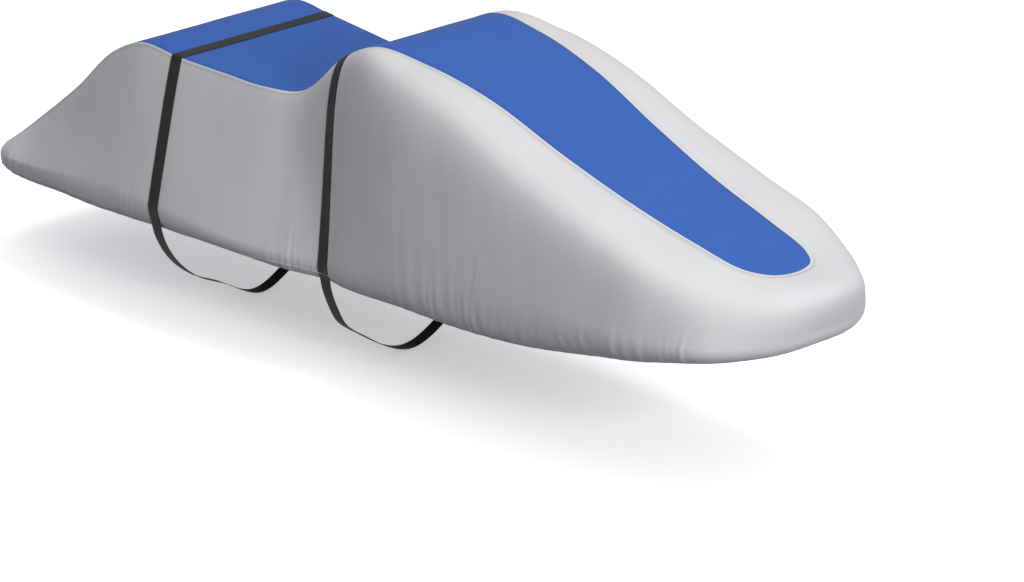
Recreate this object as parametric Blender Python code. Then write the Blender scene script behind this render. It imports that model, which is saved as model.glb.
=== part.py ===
"""Fitted storage cover for a small sit-on watercraft, as it hangs when pulled on and strapped down.

Four pieces: a full-length top panel, one side skirt that runs round the bow with an elastic hem,
and two webbing tie-downs that close under the hull.  The craft itself is not modelled.
+X points to the bow, +Y to port, +Z up; the origin lies under the seat top, on the centre line.
"""
import bpy
import numpy as np

# ---------------------------------------------------------------- driving sizes (metres)
CLOTH = 0.0020            # thickness of both cloth pieces
SEAM_GAP = 0.0005         # left between the edges of two sewn pieces
WEB_WIDE = 0.045          # webbing width
WEB_THICK = 0.0020        # webbing thickness
WEB_GAP = 0.0005          # left between webbing and cloth
PRESS_DEEP = 0.004        # how far a tight strap presses the side cloth in
PRESS_REACH = 0.045       # how far that dent spreads fore and aft
CLEAR_OF_STRAP = 0.020    # bare cloth kept on each side of a strap before the gathers start

# Half section of the cover, stern to bow.  Each row gives, for one section, the seam between top
# panel and skirt, the corner the shoulder is drawn to, and how fully it is drawn there from the
# seam and from the rail (0 flat, 1 right up to the corner).  y is the half width.
UPPER_COLUMNS = ("name", "x_seam", "y_seam", "z_seam", "x_shoulder", "y_shoulder", "z_shoulder",
                 "full_top", "full_wall")
UPPER = (
    ("stern",    -1.143, 0.270, -0.517, -1.156, 0.270, -0.525, 0.60, 0.60),
    ("corner_a", -1.119, 0.275, -0.502, -1.107, 0.332, -0.508, 0.60, 0.60),
    ("corner_b", -1.067, 0.284, -0.470, -1.036, 0.363, -0.477, 0.60, 0.60),
    ("tail_low", -0.934, 0.297, -0.376, -0.898, 0.343, -0.399, 0.60, 0.60),
    ("tail_mid", -0.720, 0.310, -0.215, -0.720, 0.347, -0.252, 0.60, 0.60),
    ("tail_top", -0.513, 0.320, -0.040, -0.513, 0.357, -0.084, 0.50, 0.60),
    ("crease",   -0.369, 0.328, 0.022, -0.369, 0.357, -0.036, 0.50, 0.60),
    ("strap_r",  -0.202, 0.325, 0.012, -0.202, 0.349, -0.037, 0.50, 0.60),
    ("seat",      0.000, 0.309, 0.002, 0.000, 0.335, -0.050, 0.50, 0.60),
    ("saddle",    0.180, 0.293, -0.005, 0.180, 0.325, -0.050, 0.50, 0.60),
    ("dip",       0.324, 0.268, 0.009, 0.324, 0.327, -0.018, 0.60, 0.60),
    ("strap_f",   0.513, 0.250, 0.164, 0.513, 0.362, 0.149, 0.70, 0.60),
    ("hump",      0.639, 0.252, 0.222, 0.639, 0.375, 0.243, 0.90, 0.80),
    ("brow",      0.864, 0.240, 0.215, 0.864, 0.416, 0.232, 0.95, 0.88),
    ("hood_a",    1.125, 0.219, 0.159, 1.125, 0.424, 0.180, 0.95, 0.88),
    ("hood_b",    1.422, 0.196, 0.047, 1.422, 0.421, 0.066, 0.95, 0.88),
    ("hood_c",    1.706, 0.172, -0.049, 1.735, 0.410, -0.033, 0.95, 0.88),
    ("bow_a",     1.946, 0.153, -0.113, 1.972, 0.391, -0.104, 0.95, 0.88),
    ("bow_b",     2.105, 0.130, -0.152, 2.197, 0.285, -0.172, 0.90, 0.80),
    ("tip_a",     2.180, 0.076, -0.164, 2.331, 0.168, -0.181, 0.90, 0.80),
    ("tip",       2.199, 0.000, -0.167, 2.384, 0.000, -0.168, 0.90, 0.80),
)
# The rail is the widest line of each section, the hem its lower edge, and the waist how far the
# wall between shoulder and rail is drawn in.
LOWER_COLUMNS = ("name", "x_rail", "y_rail", "z_rail", "x_hem", "y_hem", "z_hem", "waist")
LOWER = (
    ("stern",    -1.154, 0.270, -0.546, -1.108, 0.270, -0.578, 0.000),
    ("corner_a", -1.107, 0.325, -0.535, -1.081, 0.321, -0.574, 0.000),
    ("corner_b", -1.038, 0.372, -0.515, -1.024, 0.358, -0.567, 0.000),
    ("tail_low", -0.893, 0.407, -0.497, -0.889, 0.390, -0.559, 0.000),
    ("tail_mid", -0.720, 0.427, -0.478, -0.720, 0.407, -0.549, 0.000),
    ("tail_top", -0.513, 0.436, -0.464, -0.513, 0.418, -0.547, 0.000),
    ("crease",   -0.369, 0.442, -0.457, -0.369, 0.412, -0.547, 0.000),
    ("strap_r",  -0.202, 0.443, -0.461, -0.202, 0.402, -0.547, 0.000),
    ("seat",      0.000, 0.437, -0.478, 0.000, 0.389, -0.547, 0.000),
    ("saddle",    0.180, 0.420, -0.491, 0.180, 0.384, -0.547, 0.003),
    ("dip",       0.324, 0.395, -0.496, 0.324, 0.378, -0.547, 0.012),
    ("strap_f",   0.513, 0.363, -0.496, 0.513, 0.348, -0.547, 0.018),
    ("hump",      0.639, 0.384, -0.461, 0.639, 0.361, -0.546, 0.010),
    ("brow",      0.864, 0.412, -0.408, 0.864, 0.359, -0.542, 0.000),
    ("hood_a",    1.125, 0.421, -0.355, 1.125, 0.374, -0.533, 0.000),
    ("hood_b",    1.422, 0.420, -0.345, 1.422, 0.363, -0.517, 0.000),
    ("hood_c",    1.717, 0.418, -0.347, 1.721, 0.348, -0.473, 0.000),
    ("bow_a",     1.953, 0.398, -0.347, 1.926, 0.320, -0.443, 0.000),
    ("bow_b",     2.170, 0.328, -0.341, 2.113, 0.217, -0.415, 0.000),
    ("tip_a",     2.293, 0.173, -0.325, 2.209, 0.095, -0.397, 0.000),
    ("tip",       2.332, 0.000, -0.306, 2.260, 0.000, -0.377, 0.000),
)
# Where a section is cut into rows: shares of the curve from seam to rail, then from rail to hem.
WALL_CUTS = (0.0, 0.14, 0.28, 0.42, 0.58, 0.78, 1.0)
TUCK_CUTS = (0.5, 1.0)

# Gathers drawn up by the elastic.  "run" is measured along the rail from the stern seam; pitch is
# ridge to ridge, deep the swing at the hem, reach how far up the side the folds climb.
GATHER_COLUMNS = ("name", "from_run", "to_run", "pitch", "deep", "reach")
GATHERS = (
    ("stern_corner", 0.03, 0.40, 0.062, 0.0035, 0.11),
    ("tail_side",    0.40, 1.00, 0.084, 0.0030, 0.13),
    ("calm_aft",     1.14, 1.44, 0.120, 0.0016, 0.09),
    ("seat_side",    1.44, 1.76, 0.074, 0.0036, 0.18),
    ("calm_mid",     1.88, 2.16, 0.110, 0.0018, 0.12),
    ("tall_folds",   2.16, 2.62, 0.066, 0.0052, 0.34),
    ("fore_side",    2.62, 3.15, 0.080, 0.0030, 0.15),
    ("bow_tight",    3.15, 3.37, 0.056, 0.0046, 0.20),
    ("bow_round",    3.37, 3.78, 0.102, 0.0020, 0.09),
)
# Soft hollows where the cloth spans between the craft's hard points.
HOLLOW_COLUMNS = ("name", "x", "z", "half_long", "half_high", "deep")
HOLLOWS = (
    ("tail_flank",   -0.62, -0.30, 0.22, 0.12, 0.006),
    ("seat_flank",    0.02, -0.24, 0.16, 0.13, 0.005),
    ("under_dip",     0.36, -0.20, 0.10, 0.16, 0.007),
    ("hood_flank",    1.00, -0.12, 0.20, 0.12, 0.005),
)
# The two tie-downs: where they cross, and their path below the hem (half width, height).
STRAPS = {"strap_rear": -0.202, "strap_front": 0.513}
UNDER_COLUMNS = ("name", "y", "z")
UNDER = {
    "strap_rear": (("side", 0.412, -0.576), ("flank", 0.364, -0.656), ("chine", 0.278, -0.733),
                   ("floor", 0.165, -0.787), ("keel", 0.000, -0.858)),
    "strap_front": (("side", 0.343, -0.576), ("flank", 0.318, -0.642), ("chine", 0.285, -0.702),
                    ("floor", 0.206, -0.763), ("keel", 0.000, -0.858)),
}
COLOURS = {"top_panel": (0.055, 0.150, 0.500), "side_skirt": (0.520, 0.525, 0.535),
           "strap_rear": (0.030, 0.031, 0.034), "strap_front": (0.030, 0.031, 0.034)}
ROUGHNESS = {"top_panel": 0.75, "side_skirt": 0.78, "strap_rear": 0.85, "strap_front": 0.85}


# ---------------------------------------------------------------- tables and curves
def column(rows, columns, name):
    """One named column of a table."""
    k = columns.index(name)
    return np.array([row[k] for row in rows], float)


def table_values(names, rows, columns):
    return np.stack([column(rows, columns, n) for n in names], axis=1)


UPPER_NUMBERS = UPPER_COLUMNS[1:]
LOWER_NUMBERS = LOWER_COLUMNS[1:]
NUMBERS = UPPER_NUMBERS + LOWER_NUMBERS
TABLE = np.hstack([table_values(UPPER_NUMBERS, UPPER, UPPER_COLUMNS),
                   table_values(LOWER_NUMBERS, LOWER, LOWER_COLUMNS)])
HALF_WIDTHS = np.array([n.startswith("y_") for n in NUMBERS])


def rail_runs():
    """Run of each table row: mean of the distances along seam and rail."""
    steps = np.zeros(len(TABLE) - 1)
    for line in ("seam", "rail"):
        at = [NUMBERS.index(axis + line) for axis in ("x_", "y_", "z_")]
        steps += 0.5 * np.linalg.norm(np.diff(TABLE[:, at], axis=0), axis=1)
    return np.concatenate([[0.0], np.cumsum(steps)])


RUNS = rail_runs()


def at_run(run):
    """Table values at any run, on a smooth curve through the rows."""
    run = np.atleast_1d(run)
    gap = np.diff(RUNS)[:, None]
    rise = np.diff(TABLE, axis=0) / gap
    slope = np.zeros_like(TABLE)
    slope[1:-1] = (rise[:-1] * gap[1:] + rise[1:] * gap[:-1]) / (gap[1:] + gap[:-1])
    slope[0] = rise[0]
    slope[-1] = np.where(HALF_WIDTHS, rise[-1], 0.0)      # square across the centre line at the bow
    k = np.clip(np.searchsorted(RUNS, run, side="right") - 1, 0, len(RUNS) - 2)
    s = ((run - RUNS[k]) / (RUNS[k + 1] - RUNS[k]))[:, None]
    return ((2 * s**3 - 3 * s**2 + 1) * TABLE[k] + (s**3 - 2 * s**2 + s) * gap[k] * slope[k]
            + (3 * s**2 - 2 * s**3) * TABLE[k + 1] + (s**3 - s**2) * gap[k] * slope[k + 1])


def run_at_x(x):
    """Run of the cross section at a given x, along the straight sides."""
    fine = np.linspace(0.5, 3.0, 1001)
    return float(np.interp(x, at_run(fine)[:, NUMBERS.index("x_rail")], fine))


def scatter(k, seed):
    """Repeatable unevenness between -1 and 1."""
    return 2.0 * ((np.sin(12.9898 * k + 78.233 * seed) * 43758.5453) % 1.0) - 1.0


# ---------------------------------------------------------------- where the cloth is folded
def lay_out_stations():
    """Runs of all sections that are modelled: strap edges, then a ridge or furrow each."""
    fixed = [0.0, RUNS[-1], run_at_x(0.0)]
    keep_out = []
    for x in STRAPS.values():
        fixed += [run_at_x(x - WEB_WIDE / 2), run_at_x(x + WEB_WIDE / 2)]
        fixed += [run_at_x(x - WEB_WIDE / 2) - CLEAR_OF_STRAP, run_at_x(x + WEB_WIDE / 2) + CLEAR_OF_STRAP]
        keep_out.append((fixed[-2] - 0.012, fixed[-1] + 0.012))
    keep_out += [(f - 0.012, f + 0.012) for f in fixed[:3]]
    stations = [(f, 0.0) for f in fixed]
    side = 1.0
    for _, start, end, pitch, _, _ in GATHERS:
        count = int(round((end - start) / (pitch / 2)))
        for k in range(count):
            run = start + (k + 0.5 + 0.30 * scatter(k, start)) * (end - start) / count
            side = -side
            if not any(lo < run < hi for lo, hi in keep_out):
                stations.append((run, side))
    return sorted(stations)


STATIONS = lay_out_stations()
RUN = np.array([s[0] for s in STATIONS])
FOLD = np.array([s[1] for s in STATIONS])


def gather_at(run, height, fold, hand):
    """Outward swing of the elastic's folds at one point; height is measured up from the hem."""
    out = 0.0
    for k, (_, start, end, _, deep, reach) in enumerate(GATHERS):
        if start <= run < end:
            tall = reach * (1.0 + 0.45 * scatter(round(run * 1000), hand + k))
            rise = max(0.0, 1.0 - height / tall)
            out += fold * hand * deep * (1.0 + 0.40 * scatter(round(run * 700), hand)) * rise**1.4
    return out


def strap_press(x, height):
    """Dent of the tight straps in the side cloth, eased out towards the shoulder."""
    dent = sum(np.exp(-((x - at) / PRESS_REACH) ** 2) for at in STRAPS.values())
    return -PRESS_DEEP * dent * min(1.0, max(0.0, 1.25 - height / 0.45))


def hollow_at(x, z):
    out = 0.0
    for _, at_x, at_z, half_long, half_high, deep in HOLLOWS:
        out -= deep * np.exp(-((x - at_x) / half_long) ** 2 - ((z - at_z) / half_high) ** 2)
    return out


def half_surface(hand):
    """Outer face of one half of the skirt: sections x rows x 3, hand -1 starboard, +1 port."""
    rows = dict(zip(NUMBERS, at_run(RUN).T))

    def line(name):
        return np.stack([rows["x_" + name], hand * rows["y_" + name], rows["z_" + name]], axis=1)

    seam, corner, rail, hem = (line(n) for n in ("seam", "shoulder", "rail", "hem"))
    lead_top = seam + (corner - seam) * rows["full_top"][:, None]
    lead_wall = rail + (corner - rail) * rows["full_wall"][:, None]
    knee = rail.copy()
    knee[:, 2] += 0.7 * (hem[:, 2] - rail[:, 2])
    cuts = []
    for t in WALL_CUTS:
        point = ((1 - t)**3 * seam + 3 * (1 - t)**2 * t * lead_top
                 + 3 * (1 - t) * t**2 * lead_wall + t**3 * rail)
        point[:, 1] -= hand * 6.75 * t**2 * (1 - t) * rows["waist"]
        cuts.append(point)
    for t in TUCK_CUTS:
        cuts.append((1 - t)**2 * rail + 2 * (1 - t) * t * knee + t**2 * hem)
    surface = np.stack(cuts, axis=1)
    along = np.gradient(rail[:, :2], RUN, axis=0)
    outward = np.stack([-hand * along[:, 1], hand * along[:, 0], np.zeros(len(RUN))], axis=1)
    outward[0], outward[-1] = (-1.0, 0.0, 0.0), (1.0, 0.0, 0.0)
    outward /= np.linalg.norm(outward, axis=1)[:, None]
    for i in range(1, len(RUN)):
        for j in range(1, surface.shape[1]):
            x, _, z = surface[i, j]
            height = z - hem[i, 2]
            swing = gather_at(RUN[i], height, FOLD[i], hand) + strap_press(x, height)
            surface[i, j] += outward[i] * (swing + hollow_at(x, z))
    surface[-1, :, 1] = 0.0
    return surface


def plumpness(a, b, c):
    """Area of a triangle over its longest edge squared."""
    longest = max((b - a) @ (b - a), (c - b) @ (c - b), (a - c) @ (a - c))
    return np.linalg.norm(np.cross(b - a, c - a)) / longest


def cut_a_to_c(a, b, c, d):
    """Whether a quad folds better along a-c than along b-d."""
    return (min(plumpness(a, b, c), plumpness(a, c, d)) >= min(plumpness(a, b, d), plumpness(b, c, d)))


# ---------------------------------------------------------------- one surface for the whole cover
class Surface:
    """Outer points of the cover with the triangles of each cloth piece."""

    def __init__(self):
        starboard, port = half_surface(-1), half_surface(1)
        self.last = len(RUN) - 1
        self.rows = starboard.shape[1]
        grid = np.concatenate([starboard, port[-2::-1]])
        grid[self.last] = (starboard[-1] + port[-1]) / 2
        self.points = list(grid.reshape(-1, 3))
        self.middle = {}
        self.skirt = self.skirt_triangles()
        self.panel = self.panel_triangles()
        self.points = np.array(self.points)

    def starboard(self, i, j):
        return i * self.rows + j

    def port(self, i, j):
        return (2 * self.last - i) * self.rows + j

    def split(self, a, b, c, d):
        """Quad to two triangles, free of slivers."""
        if cut_a_to_c(*(self.points[k] for k in (a, b, c, d))):
            return [(a, b, c), (a, c, d)]
        return [(a, b, d), (b, c, d)]

    def skirt_triangles(self):
        out = []
        for c in range(2 * self.last):
            for j in range(self.rows - 1):
                a, b = c * self.rows + j, (c + 1) * self.rows + j
                out += self.split(a, a + 1, b + 1, b)
        return out

    def panel_triangles(self):
        """Straight across from seam to seam, and down over the stern to the hem."""
        edge = [(0, j) for j in range(self.rows - 1, 0, -1)] + [(i, 0) for i in range(self.last)]
        across = []
        for i, j in edge:
            a, b = self.starboard(i, j), self.port(i, j)
            self.middle[i, j] = len(self.points)
            self.points.append((self.points[a] + self.points[b]) / 2)
            across.append((a, self.middle[i, j], b))
        out = []
        for low, high in zip(across, across[1:]):
            for k in range(2):
                out += self.split(low[k], high[k], high[k + 1], low[k + 1])
        tip, last = self.starboard(self.last, 0), across[-1]
        out += [(last[0], tip, last[1]), (last[1], tip, last[2])]
        return out


def inward_offset(points, triangles, depth):
    """Points moved inwards by depth, mitred at creases."""
    normal = np.zeros_like(points)
    faces = []
    for tri in triangles:
        p = points[list(tri)]
        n = np.cross(p[1] - p[0], p[2] - p[0])
        n /= np.linalg.norm(n)
        faces.append((tri, n))
        for k in range(3):
            u, v = p[(k + 1) % 3] - p[k], p[(k + 2) % 3] - p[k]
            angle = np.arccos(np.clip(u @ v / (np.linalg.norm(u) * np.linalg.norm(v)), -1, 1))
            normal[tri[k]] += n * angle
    normal /= np.maximum(np.linalg.norm(normal, axis=1), 1e-12)[:, None]
    least = np.ones(len(points))
    for tri, n in faces:
        for k in tri:
            least[k] = min(least[k], normal[k] @ n)
    return points - normal * (depth / np.clip(least, 0.75, 1.0))[:, None]


def seam_shift(surface):
    """For each seam point, the direction from the top panel towards the skirt."""
    def unit(v):
        return v / np.linalg.norm(v)

    p, shift = surface.points, {}
    for side in (surface.starboard, surface.port):
        for i, j in [(0, j) for j in range(surface.rows)] + [(i, 0) for i in range(1, surface.last)]:
            here = side(i, j)
            skirt_next = side(i + 1 if i == 0 else i, j if i == 0 and j else 1)
            to_skirt = unit(p[skirt_next] - p[here])
            to_panel = unit(p[surface.middle[i, j]] - p[here])
            shift[here] = unit(to_skirt - to_panel)
    tip = surface.starboard(surface.last, 0)
    back = surface.middle[surface.last - 1, 0]
    shift[tip] = unit(unit(p[tip + 1] - p[tip]) - unit(p[back] - p[tip]))
    return shift


# ---------------------------------------------------------------- solids
def clear_scene():
    for thing in list(bpy.data.objects):
        bpy.data.objects.remove(thing, do_unlink=True)


def add_solid(name, points, triangles):
    mesh = bpy.data.meshes.new(name)
    mesh.from_pydata([tuple(float(c) for c in p) for p in points], [], triangles)
    mesh.validate()
    mesh.update()
    thing = bpy.data.objects.new(name, mesh)
    bpy.context.scene.collection.objects.link(thing)
    material = bpy.data.materials.new(name + "_material")
    material.use_nodes = True
    shader = material.node_tree.nodes["Principled BSDF"]
    shader.inputs["Base Color"].default_value = (*COLOURS[name], 1.0)
    shader.inputs["Roughness"].default_value = ROUGHNESS[name]
    mesh.materials.append(material)
    return thing


def add_sheet(name, outer, inner, triangles, shift, sign):
    """Closed sheet between the outer and inner points, with its seam edge drawn back a little."""
    used = sorted({k for tri in triangles for k in tri})
    local = {k: n for n, k in enumerate(used)}
    count = len(used)
    move = np.zeros((count, 3))
    for k, direction in shift.items():
        if k in local:
            move[local[k]] = direction * (sign * SEAM_GAP / 2)
    points = np.vstack([outer[used] + move, inner[used] + move])
    tris = [tuple(local[k] for k in tri) for tri in triangles]
    edges = {(t[k], t[(k + 1) % 3]) for t in tris for k in range(3)}
    faces = list(tris) + [(a + count, c + count, b + count) for a, b, c in tris]
    for a, b in sorted(edges):
        if (b, a) in edges:
            continue
        if a < b:                                # same diagonal on both sides of a seam
            faces += [(b, a, b + count), (a, a + count, b + count)]
        else:
            faces += [(b, a, a + count), (b, a + count, b + count)]
    return add_solid(name, points, faces)


def add_strap(name, surface):
    """Flat webbing ring: over the cover between two sections, then taut under the hull."""
    x = STRAPS[name]
    aft = int(np.argmin(abs(RUN - run_at_x(x - WEB_WIDE / 2))))
    fore = int(np.argmin(abs(RUN - run_at_x(x + WEB_WIDE / 2))))
    p = surface.points
    path = []
    for j in range(surface.rows - 2, -1, -1):
        path.append([p[surface.starboard(i, j)] for i in (aft, fore)])
    path.append([p[surface.middle[i, 0]] for i in (aft, fore)])
    for j in range(surface.rows - 1):
        path.append([p[surface.port(i, j)] for i in (aft, fore)])
    ends = (x - WEB_WIDE / 2, x + WEB_WIDE / 2)
    under = [(y, z) for _, y, z in UNDER[name]]
    for y, z in under + [(-y, z) for y, z in under[-2::-1]]:
        path.append([np.array((e, y, z)) for e in ends])
    path = np.array(path)
    n = len(path)
    face = []
    for k in range(n):
        a, b, c, d = path[k][0], path[k][1], path[(k + 1) % n][1], path[(k + 1) % n][0]
        normal = np.cross(c - a, d - b)
        face.append(normal / np.linalg.norm(normal))
    face = np.array(face)
    before = np.roll(face, 1, axis=0)
    mitre = (face + before) / (1.0 + (face * before).sum(axis=1))[:, None]
    inside = path + mitre[:, None] * WEB_GAP
    outside = path + mitre[:, None] * (WEB_GAP + WEB_THICK)
    points = np.concatenate([inside.reshape(-1, 3), outside.reshape(-1, 3)])
    faces = []
    for k in range(n):
        m = (k + 1) % n
        a, b, c, d = 2 * k, 2 * k + 1, 2 * m + 1, 2 * m
        if cut_a_to_c(path[k][0], path[k][1], path[m][1], path[m][0]):
            pair = [(a, b, c), (a, c, d)]
        else:
            pair = [(a, b, d), (b, c, d)]
        up = 2 * n
        faces += [(p0 + up, p1 + up, p2 + up) for p0, p1, p2 in pair]
        faces += [(p0, p2, p1) for p0, p1, p2 in pair]
        faces += [(a, a + up, d), (d, a + up, d + up), (b, c, b + up), (c, c + up, b + up)]
    return add_solid(name, points, faces)


def build():
    clear_scene()
    surface = Surface()
    outer = surface.points
    inner = inward_offset(outer, surface.skirt + surface.panel, CLOTH)
    shift = seam_shift(surface)
    add_sheet("top_panel", outer, inner, surface.panel, shift, -1)
    add_sheet("side_skirt", outer, inner, surface.skirt, shift, 1)
    for name in STRAPS:
        add_strap(name, surface)


build()
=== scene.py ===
"""Looks of a fitted storage cover for a sit-on watercraft, pulled tight and strapped down."""

import math

import bpy
import numpy as np
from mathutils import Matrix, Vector


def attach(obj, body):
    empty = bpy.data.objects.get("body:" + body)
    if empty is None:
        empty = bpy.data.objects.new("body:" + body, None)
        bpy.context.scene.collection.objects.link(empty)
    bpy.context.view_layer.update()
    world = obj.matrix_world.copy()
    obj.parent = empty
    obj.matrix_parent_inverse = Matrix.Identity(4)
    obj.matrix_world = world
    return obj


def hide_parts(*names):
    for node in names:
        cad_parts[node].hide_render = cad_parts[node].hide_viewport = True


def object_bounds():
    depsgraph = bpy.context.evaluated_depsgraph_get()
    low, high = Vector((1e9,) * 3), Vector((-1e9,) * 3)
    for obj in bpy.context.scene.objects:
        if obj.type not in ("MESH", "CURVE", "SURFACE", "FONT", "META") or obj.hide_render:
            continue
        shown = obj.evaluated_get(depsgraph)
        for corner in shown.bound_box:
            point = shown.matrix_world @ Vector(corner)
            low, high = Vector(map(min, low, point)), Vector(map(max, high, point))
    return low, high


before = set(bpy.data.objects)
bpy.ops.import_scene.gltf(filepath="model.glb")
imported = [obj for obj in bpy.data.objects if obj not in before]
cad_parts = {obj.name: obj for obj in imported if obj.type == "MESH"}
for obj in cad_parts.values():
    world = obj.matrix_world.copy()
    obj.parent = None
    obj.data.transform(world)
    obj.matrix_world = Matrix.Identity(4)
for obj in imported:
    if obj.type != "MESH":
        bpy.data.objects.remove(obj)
cad_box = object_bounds()


# ================================================================ grey side skirt
# One long strip of silver-grey coated polyester that runs from the stern round the bow and back.
# It is cut to the shape of the craft, sewn to the blue panel along its top edge, and gathered at
# the bottom by an elastic in a turned-under hem.
SHELL = 0.0016              # thickness of the cloth as it is drawn
FINE_PITCH = 0.0053         # sections this far apart where the creases are deep
CALM_PITCH = 0.0100         # and this far apart elsewhere
SHALLOW = 0.0020            # creases no deeper than this are drawn with the wider spacing
HEM_TURN = 0.026            # depth of the elastic's channel
HEM_BEAD = 0.0042           # radius of the rolled edge over the elastic
HEM_ANGLES = (40, 85, 130, 175)     # mesh rows round the rolled edge, in degrees
LEAF_SHARES = (0.35, 0.7, 1.0)      # and down the channel's inner leaf
LEAF_LEAN = 1.1             # how far that leaf leans in, in radii of the rolled edge
WEB_WIDE = 0.045            # width of the tie-down webbing
PRESS_DEEP = 0.004          # how far a tight strap presses the side cloth in
PRESS_REACH = 0.045         # how far that dent spreads fore and aft
CLEAR_OF_STRAP = 0.020      # bare cloth on each side of a strap before the gathers start
FIXED_GAP = 0.012           # no broad fold crests nearer than this to a line that is held still
STRAPS = {"strap_rear": -0.202, "strap_front": 0.513}

# Half section of the cover, stern to bow: the seam between panel and skirt, the corner that the
# shoulder is drawn to, and how fully it is drawn there from the seam and from the rail.  The rows
# of UPPER and LOWER come from a least-squares fit and were adjusted afterwards.
UPPER_COLUMNS = ("name", "x_seam", "y_seam", "z_seam", "x_shoulder", "y_shoulder", "z_shoulder",
                 "full_top", "full_wall")
UPPER = (
    ("stern",    -1.143, 0.270, -0.517, -1.156, 0.270, -0.525, 0.60, 0.60),
    ("corner_a", -1.119, 0.275, -0.502, -1.107, 0.332, -0.508, 0.60, 0.60),
    ("corner_b", -1.067, 0.284, -0.470, -1.036, 0.363, -0.477, 0.60, 0.60),
    ("tail_low", -0.934, 0.297, -0.376, -0.898, 0.343, -0.399, 0.60, 0.60),
    ("tail_mid", -0.720, 0.310, -0.215, -0.720, 0.347, -0.252, 0.60, 0.60),
    ("tail_top", -0.513, 0.320, -0.040, -0.513, 0.357, -0.084, 0.50, 0.60),
    ("crease",   -0.369, 0.328, 0.022, -0.369, 0.357, -0.036, 0.50, 0.60),
    ("strap_r",  -0.202, 0.325, 0.012, -0.202, 0.349, -0.037, 0.50, 0.60),
    ("seat",      0.000, 0.309, 0.002, 0.000, 0.335, -0.050, 0.50, 0.60),
    ("saddle",    0.180, 0.293, -0.005, 0.180, 0.325, -0.050, 0.50, 0.60),
    ("dip",       0.324, 0.268, 0.009, 0.324, 0.327, -0.018, 0.60, 0.60),
    ("strap_f",   0.513, 0.250, 0.164, 0.513, 0.362, 0.149, 0.70, 0.60),
    ("hump",      0.639, 0.252, 0.222, 0.639, 0.375, 0.243, 0.90, 0.80),
    ("brow",      0.864, 0.240, 0.215, 0.864, 0.416, 0.232, 0.95, 0.88),
    ("hood_a",    1.125, 0.219, 0.159, 1.125, 0.424, 0.180, 0.95, 0.88),
    ("hood_b",    1.422, 0.196, 0.047, 1.422, 0.421, 0.066, 0.95, 0.88),
    ("hood_c",    1.706, 0.172, -0.049, 1.735, 0.410, -0.033, 0.95, 0.88),
    ("bow_a",     1.946, 0.153, -0.113, 1.972, 0.391, -0.104, 0.95, 0.88),
    ("bow_b",     2.105, 0.130, -0.152, 2.197, 0.285, -0.172, 0.90, 0.80),
    ("tip_a",     2.180, 0.076, -0.164, 2.331, 0.168, -0.181, 0.90, 0.80),
    ("tip",       2.199, 0.000, -0.167, 2.384, 0.000, -0.168, 0.90, 0.80),
)
# The rail is the widest line of each section, the hem its lower edge, and the waist how far the
# wall between shoulder and rail is drawn in.
LOWER_COLUMNS = ("name", "x_rail", "y_rail", "z_rail", "x_hem", "y_hem", "z_hem", "waist")
LOWER = (
    ("stern",    -1.154, 0.270, -0.546, -1.108, 0.270, -0.578, 0.000),
    ("corner_a", -1.107, 0.325, -0.535, -1.081, 0.321, -0.574, 0.000),
    ("corner_b", -1.038, 0.372, -0.515, -1.024, 0.358, -0.567, 0.000),
    ("tail_low", -0.893, 0.407, -0.497, -0.889, 0.390, -0.559, 0.000),
    ("tail_mid", -0.720, 0.427, -0.478, -0.720, 0.407, -0.549, 0.000),
    ("tail_top", -0.513, 0.436, -0.464, -0.513, 0.418, -0.547, 0.000),
    ("crease",   -0.369, 0.442, -0.457, -0.369, 0.412, -0.547, 0.000),
    ("strap_r",  -0.202, 0.443, -0.461, -0.202, 0.402, -0.547, 0.000),
    ("seat",      0.000, 0.437, -0.478, 0.000, 0.389, -0.547, 0.000),
    ("saddle",    0.180, 0.420, -0.491, 0.180, 0.384, -0.547, 0.003),
    ("dip",       0.324, 0.395, -0.496, 0.324, 0.378, -0.547, 0.012),
    ("strap_f",   0.513, 0.363, -0.496, 0.513, 0.348, -0.547, 0.018),
    ("hump",      0.639, 0.384, -0.461, 0.639, 0.361, -0.546, 0.010),
    ("brow",      0.864, 0.412, -0.408, 0.864, 0.359, -0.542, 0.000),
    ("hood_a",    1.125, 0.421, -0.355, 1.125, 0.374, -0.533, 0.000),
    ("hood_b",    1.422, 0.420, -0.345, 1.422, 0.363, -0.517, 0.000),
    ("hood_c",    1.717, 0.418, -0.347, 1.721, 0.348, -0.473, 0.000),
    ("bow_a",     1.953, 0.398, -0.347, 1.926, 0.320, -0.443, 0.000),
    ("bow_b",     2.170, 0.328, -0.341, 2.113, 0.217, -0.415, 0.000),
    ("tip_a",     2.293, 0.173, -0.325, 2.209, 0.095, -0.397, 0.000),
    ("tip",       2.332, 0.000, -0.306, 2.260, 0.000, -0.377, 0.000),
)
# Broad folds of the gathered hem: where each group starts and ends, crest to crest, swing at the
# hem, and how far up the side a fold climbs.  A run is a length from the stern seam, the mean of
# those along the seam and along the rail.
GATHERS = (
    ("stern_corner", 0.03, 0.40, 0.062, 0.0035, 0.11),
    ("tail_side",    0.40, 1.00, 0.084, 0.0030, 0.13),
    ("calm_aft",     1.14, 1.44, 0.120, 0.0016, 0.09),
    ("seat_side",    1.44, 1.76, 0.074, 0.0036, 0.18),
    ("calm_mid",     1.88, 2.16, 0.110, 0.0018, 0.12),
    ("tall_folds",   2.16, 2.62, 0.066, 0.0052, 0.34),
    ("fore_side",    2.62, 3.15, 0.080, 0.0030, 0.15),
    ("bow_tight",    3.15, 3.37, 0.056, 0.0046, 0.20),
    ("bow_round",    3.37, 3.78, 0.102, 0.0020, 0.09),
)
BROAD_SHARE = 0.20          # share of the broad folds' swing that is left under the creases
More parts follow.
